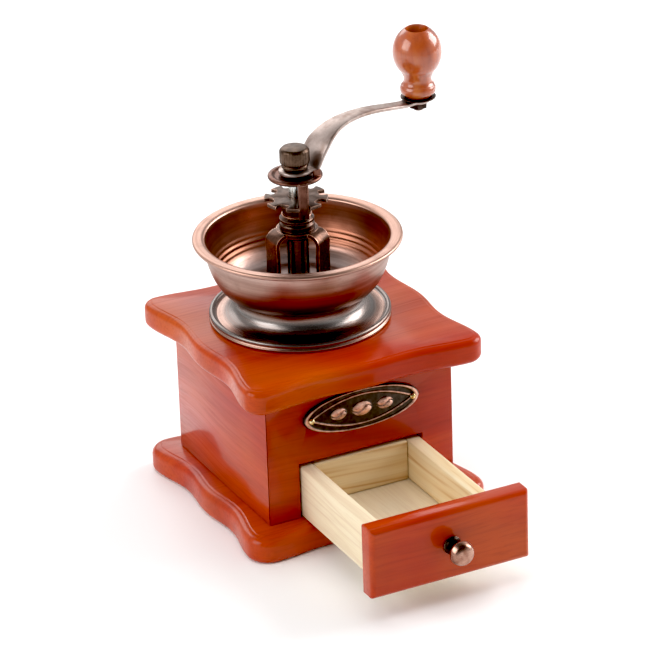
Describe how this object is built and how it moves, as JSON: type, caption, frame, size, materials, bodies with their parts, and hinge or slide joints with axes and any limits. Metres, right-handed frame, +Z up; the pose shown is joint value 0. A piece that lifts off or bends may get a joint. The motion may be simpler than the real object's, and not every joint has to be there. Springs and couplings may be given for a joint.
{
  "type": "hand-cranked coffee mill",
  "caption": "Table coffee mill: a wooden box with a drawer, an open metal hopper bowl over a conical burr mill, and a bent crank with a turned wooden knob.",
  "frame": {"origin": "where the spindle's axis meets the plane of the base board's underside", "axes": "+Z up along the spindle; -Y towards the drawer's front; +X to the right as the drawer's front is faced"},
  "size_m": [0.1371, 0.2007, 0.2014],
  "materials": {
    "red_wood": "orange-red stain under clear gloss lacquer, fine grain",
    "pale_wood": "bare planed pine",
    "knob_wood": "amber-red lacquered turned wood",
    "copper": "steel plated in antique copper, brushed and clear coated",
    "dark_copper": "steel with dark antique copper patina, worn bright on its edges",
    "steel": "bright drawn steel",
    "iron": "plain grey cast iron",
    "brass": "polished round-headed nails"
  },
  "bodies": {
    "mill": {"base_board": "red_wood", "top_board": "red_wood", "front_wall": "red_wood", "back_wall": "red_wood", "left_wall": "red_wood", "right_wall": "red_wood", "drawer_guide_left": "pale_wood", "drawer_guide_right": "pale_wood", "base_screw_1": "steel", "base_screw_2": "steel", "base_screw_3": "steel", "base_screw_4": "steel", "badge": "dark_copper", "badge_nail_left": "brass", "badge_nail_right": "brass", "hopper_foot": "copper", "hopper_bowl": "copper", "outer_burr": "iron", "bearing_spider": "iron", "mill_bolt_1": "dark_copper", "mill_bolt_2": "dark_copper", "mill_bolt_3": "dark_copper", "mill_nut_1": "steel", "mill_nut_2": "steel", "mill_nut_3": "steel", "spindle_bracket": "dark_copper", "spindle_bush": "dark_copper"},
    "adjuster": {"adjusting_nut": "dark_copper", "thrust_washer": "copper"},
    "crank": {"spindle": "steel", "inner_burr": "iron", "lock_plate": "dark_copper", "crank_arm": "copper", "spring_washer": "dark_copper", "cap_nut": "dark_copper", "knob_pin": "dark_copper", "knob_washer": "dark_copper", "knob_nut": "dark_copper"},
    "knob": {"crank_knob": "knob_wood"},
    "drawer": {"drawer_side_left": "pale_wood", "drawer_side_right": "pale_wood", "drawer_back": "pale_wood", "drawer_floor": "pale_wood", "drawer_front": "red_wood", "drawer_pull": "copper", "drawer_pull_screw": "steel"}
  },
  "joints": [
    {"name": "crank_spin", "type": "hinge", "parent": "mill", "child": "adjuster", "pos_m": [0, 0, 0.133], "axis": [0, 0, 1], "continuous": true},
    {"name": "burr_gap", "type": "slide", "parent": "adjuster", "child": "crank", "axis": [0, 0, 1], "range_m": [0, 0.001]},
    {"name": "knob_spin", "type": "hinge", "parent": "crank", "child": "knob", "pos_m": [0.07024, 0.01583, 0.1695], "axis": [0, 0, 1], "continuous": true},
    {"name": "drawer_slide", "type": "slide", "parent": "mill", "child": "drawer", "axis": [0, -1, 0], "range_m": [-0.074, 0.012]}
  ]
}
